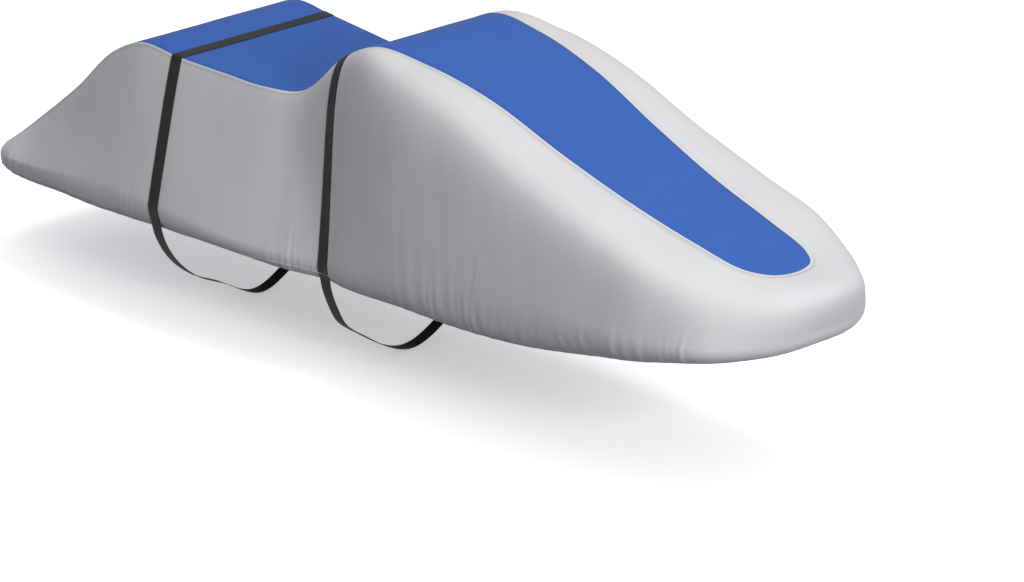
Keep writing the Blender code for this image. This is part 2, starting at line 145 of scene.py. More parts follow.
# Creases drawn up by the elastic, one row for each group: where it starts and ends, ridge to ridge,
# depth at the hem, height of the tallest, share that stand tall, and lean to the bow per metre up.
CREASE_GROUPS = (
    ("stern_corner", 0.00, 0.44, 0.044, 0.0030, 0.11, 0.5, -0.2),
    ("tail_side",    0.44, 0.86, 0.066, 0.0020, 0.08, 0.2, 0.0),
    ("aft_of_strap", 0.86, 1.02, 0.032, 0.0024, 0.14, 0.7, 0.2),
    ("under_seat",   1.10, 1.24, 0.045, 0.0014, 0.11, 0.4, 0.3),
    ("calm_aft",     1.24, 1.52, 0.070, 0.0010, 0.08, 0.2, 0.0),
    ("seat_side",    1.54, 1.78, 0.031, 0.0028, 0.18, 0.6, 0.0),
    ("calm_mid",     1.92, 2.28, 0.050, 0.0018, 0.17, 0.3, 0.2),
    ("tall_folds",   2.28, 2.56, 0.032, 0.0032, 0.33, 0.4, 0.2),
    ("fore_side",    2.56, 2.86, 0.044, 0.0030, 0.20, 0.6, 0.4),
    ("before_bow",   2.86, 3.28, 0.046, 0.0028, 0.17, 0.4, 0.3),
    ("bow_tight",    3.28, 3.42, 0.023, 0.0030, 0.18, 0.8, 0.1),
    ("bow_round",    3.42, 3.62, 0.036, 0.0011, 0.07, 0.2, 0.0),
    ("bow_end",      3.62, 3.80, 0.032, 0.0022, 0.09, 0.5, -0.2),
)
HEM_HOLD = 0.030            # the elastic holds the edge itself nearly smooth up to here
SEAM_HOLD = 0.03            # the seam holds the cloth smooth down to here
BOW_HOLD = 0.04             # and the middle of the bow holds it this far round on each side
FURROW_DEEP = 0.45          # depth of the furrow around a ridge, as a share of the ridge
FURROW_WIDE = 2.0           # and its width, in widths of the ridge
KNEE_DROP = 0.7             # share of the drop from rail to hem at which the cloth turns under
WAIST_PEAK = 27 / 4         # brings the waist's curve to 1 at its deepest
# Soft hollows where the cloth spans between hard points: x, z, half_long, half_high, deep.
HOLLOWS = (
    ("tail_flank",   -0.62, -0.30, 0.22, 0.12, 0.006),
    ("seat_flank",    0.02, -0.24, 0.16, 0.13, 0.005),
    ("under_dip",     0.36, -0.20, 0.10, 0.16, 0.007),
    ("hood_flank",    1.00, -0.12, 0.20, 0.12, 0.005),
)


def table_values(rows):
    return np.array([row[1:] for row in rows], float)


NUMBERS = UPPER_COLUMNS[1:] + LOWER_COLUMNS[1:]
TABLE = np.hstack([table_values(UPPER), table_values(LOWER)])
HALF_WIDTHS = np.array([n.startswith("y_") for n in NUMBERS])


def rail_runs():
    """Run of each table row: mean of the distances along seam and rail."""
    steps = np.zeros(len(TABLE) - 1)
    for line in ("seam", "rail"):
        at = [NUMBERS.index(axis + line) for axis in ("x_", "y_", "z_")]
        steps += 0.5 * np.linalg.norm(np.diff(TABLE[:, at], axis=0), axis=1)
    return np.concatenate([[0.0], np.cumsum(steps)])


RUNS = rail_runs()


def hermite(s, gap, start, end, slope_start, slope_end):
    """Cubic from start to end with the given slopes; s runs from 0 to 1 over the gap."""
    return ((2 * s**3 - 3 * s**2 + 1) * start + (s**3 - 2 * s**2 + s) * gap * slope_start
            + (3 * s**2 - 2 * s**3) * end + (s**3 - s**2) * gap * slope_end)


def at_run(run):
    """Table values at any run, on a smooth curve through the rows."""
    run = np.atleast_1d(run)
    gap = np.diff(RUNS)[:, None]
    rise = np.diff(TABLE, axis=0) / gap
    slope = np.zeros_like(TABLE)
    slope[1:-1] = (rise[:-1] * gap[1:] + rise[1:] * gap[:-1]) / (gap[1:] + gap[:-1])
    slope[0] = rise[0]
    slope[-1] = np.where(HALF_WIDTHS, rise[-1], 0.0)
    k = np.clip(np.searchsorted(RUNS, run, side="right") - 1, 0, len(RUNS) - 2)
    s = ((run - RUNS[k]) / (RUNS[k + 1] - RUNS[k]))[:, None]
    return hermite(s, gap[k], TABLE[k], TABLE[k + 1], slope[k], slope[k + 1])


def run_at_x(x):
    """Run of the cross section at a given x, along the straight sides."""
    fine = np.linspace(0.5, 3.0, 1001)
    return float(np.interp(x, at_run(fine)[:, NUMBERS.index("x_rail")], fine))


def scatter(k, seed):
    """Repeatable unevenness between -1 and 1."""
    return 2.0 * ((np.sin(12.9898 * k + 78.233 * seed) * 43758.5453) % 1.0) - 1.0


def strap_edges():
    """Runs of each strap's aft and fore edge."""
    return [(run_at_x(x - WEB_WIDE / 2), run_at_x(x + WEB_WIDE / 2)) for x in STRAPS.values()]


def broad_stations():
    """Runs where a broad fold crests or sinks, with +1 or -1, and 0 under the straps."""
    fixed = [0.0, RUNS[-1], run_at_x(0.0)]
    keep_out = []
    for aft, fore in strap_edges():
        fixed += [aft, fore, aft - CLEAR_OF_STRAP, fore + CLEAR_OF_STRAP]
        keep_out.append((aft - CLEAR_OF_STRAP - FIXED_GAP, fore + CLEAR_OF_STRAP + FIXED_GAP))
    keep_out += [(f - FIXED_GAP, f + FIXED_GAP) for f in fixed[:3]]
    stations = [(f, 0.0) for f in fixed]
    side = 1.0
    for _, start, end, pitch, _, _ in GATHERS:
        count = int(round((end - start) / (pitch / 2)))
        for k in range(count):
            run = start + (k + 0.5 + 0.30 * scatter(k, start)) * (end - start) / count
            side = -side
            if not any(lo < run < hi for lo, hi in keep_out):
                stations.append((run, side))
    return np.array(sorted(stations))


BROAD = broad_stations()


def broad_swing(runs, height, hand):
    """Swing of the broad folds for a grid of runs x heights, eased from station to station."""
    at_stations = np.zeros((len(BROAD), height.shape[1]))
    own_height = np.stack([np.interp(BROAD[:, 0], runs, height[:, j])
                           for j in range(height.shape[1])], axis=1)
    for n, (run, fold) in enumerate(BROAD):
        for k, (_, start, end, _, deep, reach) in enumerate(GATHERS):
            if start <= run < end:
                tall = reach * (1.0 + 0.45 * scatter(round(run * 1000), hand + k))
                rise = np.maximum(0.0, 1.0 - own_height[n] / tall)
                size = deep * (1.0 + 0.40 * scatter(round(run * 700), hand))
                at_stations[n] += fold * hand * size * rise**1.4
    k = np.clip(np.searchsorted(BROAD[:, 0], runs, side="right") - 1, 0, len(BROAD) - 2)
    s = np.clip((runs - BROAD[k, 0]) / (BROAD[k + 1, 0] - BROAD[k, 0]), 0, 1)
    s = (3 * s**2 - 2 * s**3)[:, None]
    return (1 - s) * at_stations[k] + s * at_stations[k + 1]


def crease_swing(runs, height, hand):
    """Narrow ridges with a furrow on each side, that lean, thin out and end at uneven heights."""
    swing = np.zeros_like(height)
    calm = np.ones_like(runs)
    for aft, fore in strap_edges():
        off = np.maximum(np.maximum(aft - runs, runs - fore), 0.0)
        calm *= np.clip(off / CLEAR_OF_STRAP, 0, 1)
    for k, (_, start, end, pitch, deep, reach, tall_share, group_lean) in enumerate(CREASE_GROUPS):
        count = int(round((end - start) / pitch))
        seed = hand * 3.7 + k * 1.31
        for n in range(count):
            centre = start + (n + 0.5 + 0.30 * scatter(n, seed)) * (end - start) / count
            stands = 0.5 + 0.5 * scatter(n, seed + 0.5)
            tall = reach * (0.60 + 0.40 * stands if stands > 1.0 - tall_share else 0.40 + 0.25 * stands)
            size = deep * (0.90 + 0.40 * scatter(n, seed + 1.1))
            lean = group_lean + 0.10 * scatter(n, seed + 1.7)
            ridge_wide = pitch * (0.25 + 0.05 * scatter(n, seed + 2.3))
            near = np.abs(runs - centre) < 6 * ridge_wide + abs(lean) * tall
            rise = np.clip(1.0 - height[near] / tall, 0, 1)
            wide = ridge_wide * (0.80 + 0.45 * rise)
            off = (runs[near, None] - centre - lean * height[near]) / wide
            ridge = np.exp(-off**2) - FURROW_DEEP * np.exp(-(off / FURROW_WIDE)**2)
            swing[near] += size * rise**1.1 * (3 - 2 * rise) * ridge
    held = np.clip(height / HEM_HOLD, 0, 1)
    return swing * calm[:, None] * (0.40 + 0.60 * held * held * (3 - 2 * held))


def strap_press(x, height):
    """Dent of the tight straps in the side cloth, eased out towards the shoulder."""
    dent = sum(np.exp(-((x - at) / PRESS_REACH) ** 2) for at in STRAPS.values())
    return -PRESS_DEEP * dent * np.clip(1.25 - height / 0.45, 0, 1)


def hollow_at(x, z):
    return -sum(deep * np.exp(-((x - at_x) / half_long) ** 2 - ((z - at_z) / half_high) ** 2)
                for _, at_x, at_z, half_long, half_high, deep in HOLLOWS)


def slack_ripple(run, drop, hand):
    """Long shallow ripples of cloth under even tension, a fraction of a millimetre high."""
    a = np.sin(run * 31.0 + 1.7 * np.sin(drop * 9.0 + hand) + 0.8 * hand)
    b = np.sin(run * 57.0 - drop * 11.0 + 2.1 * np.sin(run * 5.3 + 2 * hand))
    return 0.00016 * a + 0.00011 * b


def skirt_half(hand, runs, wall_cuts, tuck_cuts):
    """Outer face of one half, sections x rows x 3, with the way out of each section."""
    rows = dict(zip(NUMBERS, at_run(runs).T))

    def line(name):
        return np.stack([rows["x_" + name], hand * rows["y_" + name], rows["z_" + name]], axis=1)

    seam, corner, rail, hem = (line(n)[:, None] for n in ("seam", "shoulder", "rail", "hem"))
    lead_top = seam + (corner - seam) * rows["full_top"][:, None, None]
    lead_wall = rail + (corner - rail) * rows["full_wall"][:, None, None]
    t = np.asarray(wall_cuts)[None, :, None]
    wall = ((1 - t)**3 * seam + 3 * (1 - t)**2 * t * lead_top
            + 3 * (1 - t) * t**2 * lead_wall + t**3 * rail)
    wall[..., 1] -= hand * WAIST_PEAK * (t**2 * (1 - t))[..., 0] * rows["waist"][:, None]
    knee = rail.copy()
    knee[..., 2] += KNEE_DROP * (hem[..., 2] - rail[..., 2])
    t = np.asarray(tuck_cuts)[None, :, None]
    tuck = (1 - t)**2 * rail + 2 * (1 - t) * t * knee + t**2 * hem
    surface = np.concatenate([wall, tuck], axis=1)
    along = np.gradient(rail[:, 0, :2], runs, axis=0)
    outward = np.stack([-hand * along[:, 1], hand * along[:, 0], np.zeros(len(runs))], axis=1)
    outward[0], outward[-1] = (-1.0, 0.0, 0.0), (1.0, 0.0, 0.0)
    outward /= np.linalg.norm(outward, axis=1)[:, None]
    height = surface[..., 2] - hem[..., 2]
    drop = np.concatenate([np.zeros((len(runs), 1)),
                           np.cumsum(np.linalg.norm(np.diff(surface, axis=1), axis=2), axis=1)], axis=1)
    swing = (BROAD_SHARE * broad_swing(runs, height, hand) + crease_swing(runs, height, hand)
             + strap_press(surface[..., 0], height) + hollow_at(surface[..., 0], surface[..., 2])
             + slack_ripple(runs[:, None], drop, hand))
    swing *= np.clip(drop / SEAM_HOLD, 0, 1)
    swing *= np.clip((RUNS[-1] - runs) / BOW_HOLD, 0, 1)[:, None]
    surface += outward[:, None] * swing[..., None]
    return surface, outward, drop


def cut_shares(count, ease):
    """Shares from 0 to 1, closer together towards 1 as ease grows."""
    t = np.linspace(0, 1, count)
    return (1 - ease) * t + ease * (1 - (1 - t)**2)


def skirt_runs():
    """Sections close together where the cloth is creased, wider apart where it is calm."""
    runs = [0.0]
    while runs[-1] < RUNS[-1] - FINE_PITCH:
        creased = any(start < runs[-1] < end and deep > SHALLOW
                      for _, start, end, _, deep, _, _, _ in CREASE_GROUPS)
        runs.append(runs[-1] + (FINE_PITCH if creased else CALM_PITCH))
    return np.array(runs[:-1] + [RUNS[-1]])


WALL_ROWS = cut_shares(29, 0.62)
TUCK_ROWS = np.linspace(0, 1, 8)[1:]
SKIRT_RUNS = skirt_runs()


def turned_hem(surface, outward):
    """Rolled edge over the elastic and the channel's inner leaf, added under the last row."""
    edge, before = surface[:, -1], surface[:, -2]
    down = edge - before
    down /= np.linalg.norm(down, axis=1)[:, None]
    inward = -outward + (outward * down).sum(axis=1)[:, None] * down
    inward /= np.linalg.norm(inward, axis=1)[:, None]
    rows = []
    for angle in np.radians(HEM_ANGLES):
        rows.append(edge + HEM_BEAD * (inward * (1 - math.cos(angle)) + down * math.sin(angle)))
    leaf = edge + inward * 2 * HEM_BEAD
    for share in LEAF_SHARES:
        rows.append(leaf - down * HEM_TURN * share - inward * HEM_BEAD * LEAF_LEAN * share)
    return np.concatenate([surface, np.stack(rows, axis=1)], axis=1)


def sheet_object(name, grid, across, from_hem=None):
    """Mesh of a grid of points, with UV maps in metres of cloth: along, across; along, from hem."""
    n, m = grid.shape[:2]
    index = np.arange(n * m).reshape(n, m)
    faces = np.stack([index[:-1, :-1], index[:-1, 1:], index[1:, 1:], index[1:, :-1]], axis=-1)
    mesh = bpy.data.meshes.new(name)
    mesh.from_pydata(grid.reshape(-1, 3).tolist(), [], faces.reshape(-1, 4).tolist())
    loops = np.empty(len(mesh.loops), np.int32)
    mesh.loops.foreach_get("vertex_index", loops)
    for label, values in (("cloth", across), ("hem", from_hem)):
        if values is not None:
            layer = mesh.uv_layers.new(name=label)
            layer.data.foreach_set("uv", values.reshape(-1, 2)[loops].astype(np.float32).ravel())
    mesh.polygons.foreach_set("use_smooth", [True] * len(mesh.polygons))
    thing = bpy.data.objects.new(name, mesh)
    bpy.context.scene.collection.objects.link(thing)
    return thing


def thicken(thing, thickness, inner_material=0):
    """Give a sheet its thickness, inwards from the drawn face."""
    layer = thing.modifiers.new("thickness", "SOLIDIFY")
    layer.thickness = thickness
    layer.offset = -1.0
    layer.use_quality_normals = True
    layer.material_offset = inner_material


def whole_skirt():
    """Starboard half, then port half back to the stern, as one grid with its cloth lengths."""
    halves = []
    for hand in (-1, 1):
        surface, outward, drop = skirt_half(hand, SKIRT_RUNS, WALL_ROWS, TUCK_ROWS)
        grid = turned_hem(surface, outward)
        steps = np.linalg.norm(np.diff(grid, axis=1), axis=2)
        down = np.concatenate([np.zeros((len(grid), 1)), np.cumsum(steps, axis=1)], axis=1)
        along = np.broadcast_to(SKIRT_RUNS[:, None], down.shape)
        halves.append((grid, np.stack([hand * (RUNS[-1] - along), down], axis=-1)))
    middle = (halves[0][0][-1] + halves[1][0][-1]) / 2
    middle[:, 1] = 0.0
    grid = np.concatenate([halves[0][0][:-1], middle[None], halves[1][0][-2::-1]])
    cloth = np.concatenate([halves[0][1][:-1], halves[0][1][-1:], halves[1][1][-2::-1]])
    return grid, cloth


SKIRT_GRID, SKIRT_CLOTH = whole_skirt()
HEM_ROW = len(WALL_ROWS) + len(TUCK_ROWS) - 1
FROM_HEM = SKIRT_CLOTH.copy()
FROM_HEM[..., 1] = SKIRT_CLOTH[:, HEM_ROW, 1][:, None] - SKIRT_CLOTH[..., 1]
skirt = sheet_object("skirt_cloth", SKIRT_GRID, SKIRT_CLOTH, FROM_HEM)
thicken(skirt, SHELL, inner_material=1)


def group_with(name, inputs, outputs):
    """An empty node group with named sockets: (name, type, value) in, (name, type) out."""
    group = bpy.data.node_groups.new(name, "ShaderNodeTree")
    for label, kind, value in inputs:
        socket = group.interface.new_socket(label, in_out="INPUT", socket_type=kind)
        if value is not None:
            socket.default_value = value
    for label, kind in outputs:
        group.interface.new_socket(label, in_out="OUTPUT", socket_type=kind)
    return group, group.nodes.new("NodeGroupInput"), group.nodes.new("NodeGroupOutput")


def wire(tree, pairs):
    for a, b in pairs:
        tree.links.new(a, b)


def maths(tree, operation, first, second=None, third=None, clamp=False):
    """A Math node; each value is a number or a socket."""
    node = tree.nodes.new("ShaderNodeMath")
    node.operation = operation
    node.use_clamp = clamp
    for k, value in enumerate((first, second, third)):
        if value is None:
            continue
        if isinstance(value, (int, float)):
            node.inputs[k].default_value = value
        else:
            tree.links.new(value, node.inputs[k])
    return node.outputs[0]


def weave_group():
    """Plain weave: threads over and under, from cloth lengths in metres."""
    group, given, made = group_with(
        "plain_weave",
        [("Cloth", "NodeSocketVector", None), ("Threads per metre", "NodeSocketFloat", 1400.0)],
        [("Height", "NodeSocketFloat"), ("Thread", "NodeSocketFloat")])
    split = group.nodes.new("ShaderNodeSeparateXYZ")
    group.links.new(given.outputs["Cloth"], split.inputs[0])
    turns = maths(group, "MULTIPLY", given.outputs["Threads per metre"], math.pi)
    warp = maths(group, "SINE", maths(group, "MULTIPLY", split.outputs[0], turns))
    weft = maths(group, "SINE", maths(group, "MULTIPLY", split.outputs[1], turns))
    over = maths(group, "MULTIPLY", warp, weft)
    round_warp = maths(group, "ABSOLUTE", warp)
    round_weft = maths(group, "ABSOLUTE", weft)
    thread = maths(group, "MULTIPLY_ADD", over, 0.5, 0.5)
    body = maths(group, "MULTIPLY", round_warp, round_weft)
    height = maths(group, "MULTIPLY_ADD", thread, 0.5, maths(group, "MULTIPLY", body, 0.5))
    wire(group, [(height, made.inputs["Height"]), (thread, made.inputs["Thread"])])
    return group


def handling_group():
    """Slow unevenness of a cloth that has been folded and handled: tint, gloss and soft creases."""
    group, given, made = group_with(
        "handling",
        [("Cloth", "NodeSocketVector", None), ("Patch size", "NodeSocketFloat", 0.25),
         ("Crease size", "NodeSocketFloat", 0.05)],
        [("Tint", "NodeSocketFloat"), ("Gloss", "NodeSocketFloat"), ("Crease", "NodeSocketFloat")])

    def noise(size, detail, stretch):
        scale = group.nodes.new("ShaderNodeVectorMath")
        scale.operation = "MULTIPLY"
        scale.inputs[1].default_value = stretch
        group.links.new(given.outputs["Cloth"], scale.inputs[0])
        node = group.nodes.new("ShaderNodeTexNoise")
        node.inputs["Detail"].default_value = detail
        node.inputs["Roughness"].default_value = 0.55
        wire(group, [(scale.outputs[0], node.inputs["Vector"]),
                     (maths(group, "DIVIDE", 1.0, given.outputs[size]), node.inputs["Scale"])])
        return node.outputs["Fac"]

    tint = noise("Patch size", 3.0, (1.0, 0.6, 1.0))
    gloss = noise("Patch size", 5.0, (2.2, 1.4, 1.0))
    crease = noise("Crease size", 2.0, (1.0, 0.35, 1.0))
    wire(group, [(tint, made.inputs["Tint"]), (gloss, made.inputs["Gloss"]),
                 (crease, made.inputs["Crease"])])
    return group


WEAVE = weave_group()
HANDLING = handling_group()


def group_node(tree, group, **values):
    """A node group in a material, with its own number for each named socket."""
    node = tree.nodes.new("ShaderNodeGroup")
    node.node_tree = group
    for label, value in values.items():
        node.inputs[label.replace("_", " ")].default_value = value
    return node


def mix_colour(tree, share, first, second):
    """Colour between two colours; each is a tuple or a socket."""
    node = tree.nodes.new("ShaderNodeMix")
    node.data_type = "RGBA"
    if isinstance(share, (int, float)):
        node.inputs[0].default_value = share
    else:
        tree.links.new(share, node.inputs[0])
    for socket, value in ((node.inputs[6], first), (node.inputs[7], second)):
        if isinstance(value, tuple):
            socket.default_value = value
        else:
            tree.links.new(value, socket)
    return node.outputs[2]


STITCH_PITCH = 0.0036       # one stitch with its gap
STITCH_GATE = -0.45         # where along that wave the thread dips into the cloth
STITCH_HALF = 0.0007        # half width of the thread at the seams
HEM_STITCH_HALF = 0.0008    # and at the hem


def seam_lines(tree, across, lines, width):
    """Mask of stitch lines at given distances from the seam: 1 on a stitch, 0 off it."""
    split = tree.nodes.new("ShaderNodeSeparateXYZ")
    tree.links.new(across, split.inputs[0])
    gate = maths(tree, "SINE", maths(tree, "MULTIPLY", split.outputs[0], 2 * math.pi / STITCH_PITCH))
    gate = maths(tree, "GREATER_THAN", gate, STITCH_GATE)
    total = None
    for at in lines:
        off = maths(tree, "ABSOLUTE", maths(tree, "SUBTRACT", split.outputs[1], at))
        line = maths(tree, "MULTIPLY", maths(tree, "LESS_THAN", off, width), gate)
        total = line if total is None else maths(tree, "MAXIMUM", total, line)
    return total


HEM_SHADE_REACH = 0.075      # painted shade darkens the cloth this far up from the hem
CRIMP_PITCH = 0.011         # fine crimping at the elastic
CRIMP_FADE = 0.030          # and how far up it fades out


def hem_crimp(tree, from_hem, pitch, fade):
    """Fine crimping of the cloth at the elastic: short uneven creases that fade upwards."""
    scale = tree.nodes.new("ShaderNodeVectorMath")
    scale.operation = "MULTIPLY"
    scale.inputs[1].default_value = (1.0 / pitch, 0.12 / pitch, 1.0)
    noise = tree.nodes.new("ShaderNodeTexNoise")
    noise.inputs["Scale"].default_value = 1.0
    noise.inputs["Detail"].default_value = 1.5
    wire(tree, [(from_hem, scale.inputs[0]), (scale.outputs[0], noise.inputs["Vector"])])
    split = tree.nodes.new("ShaderNodeSeparateXYZ")
    tree.links.new(from_hem, split.inputs[0])
    away = maths(tree, "MULTIPLY", maths(tree, "ABSOLUTE", split.outputs[1]), -1.0 / fade)
    strength = maths(tree, "EXPONENT", away)
    return maths(tree, "MULTIPLY", noise.outputs["Fac"], strength)


def new_material(name):
    """A material with its node tree and its shader."""
    material = bpy.data.materials.new(name)
    material.use_nodes = True
    return material, material.node_tree, material.node_tree.nodes["Principled BSDF"]


def cloth_lengths(tree, label):
    """Lengths in metres of cloth, from the UV map of that name."""
    node = tree.nodes.new("ShaderNodeUVMap")
    node.uv_map = label
    return node.outputs[0]


def bump_node(tree, strength, distance):
    node = tree.nodes.new("ShaderNodeBump")
    node.inputs["Strength"].default_value = strength
    node.inputs["Distance"].default_value = distance
    return node


def cloth_material(name, light, dark, thread_colour, roughness, stitch_lines, sheen, hem_shade=0.0,
                   hem_lines=()):
    """Coated polyester: woven face, soft handling creases, stitch lines along its edges and, if given,
    painted shade towards the hem.
    """
    material, tree, shader = new_material(name)
    cloth = cloth_lengths(tree, "cloth")
    weave = group_node(tree, WEAVE, Threads_per_metre=1400.0)
    handling = group_node(tree, HANDLING, Patch_size=0.28, Crease_size=0.055)
    wire(tree, [(cloth, weave.inputs["Cloth"]), (cloth, handling.inputs["Cloth"])])
    ramp = maths(tree, "MULTIPLY_ADD", handling.outputs["Tint"], 1.6, -0.3, clamp=True)
    colour = mix_colour(tree, ramp, dark, light)
    thread_shade = maths(tree, "MULTIPLY", weave.outputs["Thread"], 0.10)
    # darker tone for the weave's threads and for the painted shade at the hem
    deep = tuple(0.55 * c for c in dark[:3]) + (1.0,)
    colour = mix_colour(tree, thread_shade, colour, deep)
    stitches = seam_lines(tree, cloth, stitch_lines, STITCH_HALF) if stitch_lines else None
    crimp = None
    if hem_lines:
        from_hem = cloth_lengths(tree, "hem")
        hem_stitches = seam_lines(tree, from_hem, hem_lines, HEM_STITCH_HALF)
        stitches = maths(tree, "MAXIMUM", stitches, hem_stitches) if stitch_lines else hem_stitches
        crimp = hem_crimp(tree, from_hem, CRIMP_PITCH, CRIMP_FADE)
        # Painted shade: the colour is darkened most at the hem edge and fades out a little way up.
        split = tree.nodes.new("ShaderNodeSeparateXYZ")
        tree.links.new(from_hem, split.inputs[0])
        near = maths(tree, "MULTIPLY_ADD", maths(tree, "ABSOLUTE", split.outputs[1]),
                     -1.0 / HEM_SHADE_REACH, 1.0, clamp=True)
        painted_shade = maths(tree, "MULTIPLY", maths(tree, "POWER", near, 1.5), hem_shade)
        colour = mix_colour(tree, painted_shade, colour, deep)
    if stitches is not None:
        colour = mix_colour(tree, stitches, colour, thread_colour)
    rough = maths(tree, "MULTIPLY_ADD", handling.outputs["Gloss"], 0.16, roughness - 0.08)
    small = bump_node(tree, 0.22, 0.0002)
    height = weave.outputs["Height"]
    if stitches is not None:
        height = maths(tree, "ADD", height, maths(tree, "MULTIPLY", stitches, 2.2))
    large = bump_node(tree, 0.30, 0.0022)
    folds = handling.outputs["Crease"]
    if crimp is not None:
        folds = maths(tree, "MULTIPLY_ADD", crimp, 1.6, folds)
    wire(tree, [(folds, large.inputs["Height"]),
                (large.outputs[0], small.inputs["Normal"]), (height, small.inputs["Height"]),
                (colour, shader.inputs["Base Color"]), (rough, shader.inputs["Roughness"]),
                (small.outputs[0], shader.inputs["Normal"])])
    shader.inputs["Sheen Weight"].default_value = sheen
    shader.inputs["Sheen Roughness"].default_value = 0.45
    shader.inputs["Specular IOR Level"].default_value = 0.16
    return material


GREY = (0.520, 0.526, 0.534, 1.0)
GREY_DARK = (0.480, 0.486, 0.498, 1.0)
GREY_THREAD = (0.530, 0.535, 0.545, 1.0)
GREY_BACK = (0.400, 0.405, 0.415, 1.0)
GREY_BACK_DARK = (0.360, 0.365, 0.375, 1.0)
# The outer face carries painted shade along its hem.
skirt.data.materials.append(cloth_material("grey_cloth_face", GREY, GREY_DARK, GREY_THREAD, 0.66,
                                           (), 0.03, hem_shade=0.62, hem_lines=(HEM_TURN,)))
skirt.data.materials.append(cloth_material("grey_cloth_back", GREY_BACK, GREY_BACK_DARK, GREY_THREAD,
                                           0.50, (0.010,), 0.02, hem_lines=(HEM_TURN,)))
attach(skirt, "root")
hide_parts("side_skirt")


# ================================================================ blue top panel
# One full-length panel of royal-blue coated polyester, from the stern hem over the tail, seat and
# hood to its rounded end at the nose.  It is pulled straight across between the two seams.
PANEL_COLUMNS = 23          # mesh rows across the panel
CROWN = 0.0035              # how far the drum-tight panel lifts between its seams on the hood
HOOD_START = 0.55           # x where that lift begins
HOOD_EASE = 0.25            # and the length over which it comes in
NARROW = 0.4                # a panel narrower than this lifts less
PANEL_RIPPLE = 0.00045


def panel_grid():
    """Straight across from seam to seam, up over the stern and forward to the nose."""
    rows = len(WALL_ROWS) + len(TUCK_ROWS)
    half = len(SKIRT_RUNS) - 1
    starboard = SKIRT_GRID[:half + 1]
    port = SKIRT_GRID[:half - 1:-1]
    left = np.concatenate([starboard[0, rows - 1:0:-1], starboard[:half, 0]])
    right = np.concatenate([port[0, rows - 1:0:-1], port[:half, 0]])
    share = np.linspace(0, 1, PANEL_COLUMNS)[None, :, None]
    grid = right[:, None] * (1 - share) + left[:, None] * share
    tip = np.broadcast_to(SKIRT_GRID[half, 0], (1, PANEL_COLUMNS, 3))
    grid = np.concatenate([grid, tip])
    steps = np.linalg.norm(np.diff(grid[:, PANEL_COLUMNS // 2], axis=0), axis=1)
    along = np.concatenate([[0.0], np.cumsum(steps)])
    width = np.linalg.norm(grid[:, -1] - grid[:, 0], axis=1)
    u = np.broadcast_to(along[:, None], grid.shape[:2])
    v = (share[..., 0] - 0.5) * width[:, None]
    arch = 1 - (2 * share[..., 0] - 1)**2
    bow = np.clip((grid[..., 0] - HOOD_START) / HOOD_EASE, 0, 1) * arch
    ripple = PANEL_RIPPLE * np.sin(u * 23.0 + 2.0 * np.sin(v * 14.0)) * arch
    grid[..., 2] += CROWN * bow * np.clip(width / NARROW, 0, 1)[:, None] + ripple
    return grid, np.stack([u, v], axis=-1), along[-1], float(width.max())


PANEL_GRID, PANEL_CLOTH, PANEL_LONG, PANEL_WIDE = panel_grid()
panel = sheet_object("panel_cloth", PANEL_GRID, PANEL_CLOTH)
thicken(panel, SHELL, inner_material=1)
BLUE = (0.026, 0.094, 0.355, 1.0)
BLUE_DARK = (0.023, 0.084, 0.325, 1.0)
BLUE_THREAD = (0.035, 0.115, 0.400, 1.0)
panel.data.materials.append(cloth_material("blue_cloth_face", BLUE, BLUE_DARK, BLUE_THREAD, 0.66,
                                           (), 0.02))
panel.data.materials.append(cloth_material("blue_cloth_back", BLUE_DARK, BLUE_DARK, BLUE_THREAD,
                                           0.50, (), 0.02))
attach(panel, "root")
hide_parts("top_panel")


# ================================================================ felled seams
# The two cloths are joined by a flat-felled seam: the allowances are folded into each other, laid
# over the grey side and held by two rows of stitching, which leaves a low raised band.
FELL_WIDE = 0.010           # width of the folded band
FELL_HIGH = 0.0012          # how far it stands above the skirt
FELL_CLEAR = 0.0001         # left between the band and the skirt
FELL_ROWS = 10              # rows of the skirt that the band can lie over
INSIDE = np.array((0.6, 0.0, -0.6))     # a point well inside the cover
FELL_SHARES = (0.0, 0.02, 0.10, 0.30, 0.50, 0.70, 0.90, 0.98, 1.0)
FELL_LIFTS = (0.10, 0.70, 1.00, 0.90, 1.00, 0.90, 1.00, 0.70, 0.05)


def felled_seam():
    """Band along the whole seam, laid on the skirt from its top edge downwards."""
    first = SKIRT_GRID[:, 0]
    reach = SKIRT_CLOTH[..., 1]
    band = []
    for share, lift in zip(FELL_SHARES, FELL_LIFTS):
        at = FELL_WIDE * share
        k = np.clip((reach[:, :FELL_ROWS] <= at).sum(axis=1) - 1, 0, FELL_ROWS - 2)
        every = np.arange(len(first))
        s = ((at - reach[every, k]) / (reach[every, k + 1] - reach[every, k]))[:, None]
        base = SKIRT_GRID[every, k] * (1 - s) + SKIRT_GRID[every, k + 1] * s
        down = SKIRT_GRID[every, k + 1] - SKIRT_GRID[every, k]
        out = np.cross(down, np.gradient(first, axis=0))
        out /= np.linalg.norm(out, axis=1)[:, None]
        out *= np.sign((out * (base - INSIDE)).sum(axis=1))[:, None]
        band.append(base + out * (FELL_HIGH * lift + FELL_CLEAR))
    down_band = FELL_WIDE * np.array(FELL_SHARES)[None]
    cloth = np.stack(np.broadcast_arrays(SKIRT_CLOTH[:, :1, 0], down_band), axis=-1)
    return np.stack(band, axis=1), cloth


seam_band = sheet_object("felled_seam", *felled_seam())
seam_band.data.materials.append(cloth_material("grey_seam_band", GREY, GREY_DARK, GREY_THREAD, 0.66,
                                               (0.0020, 0.0080), 0.03))
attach(seam_band, "root")
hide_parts("side_skirt")


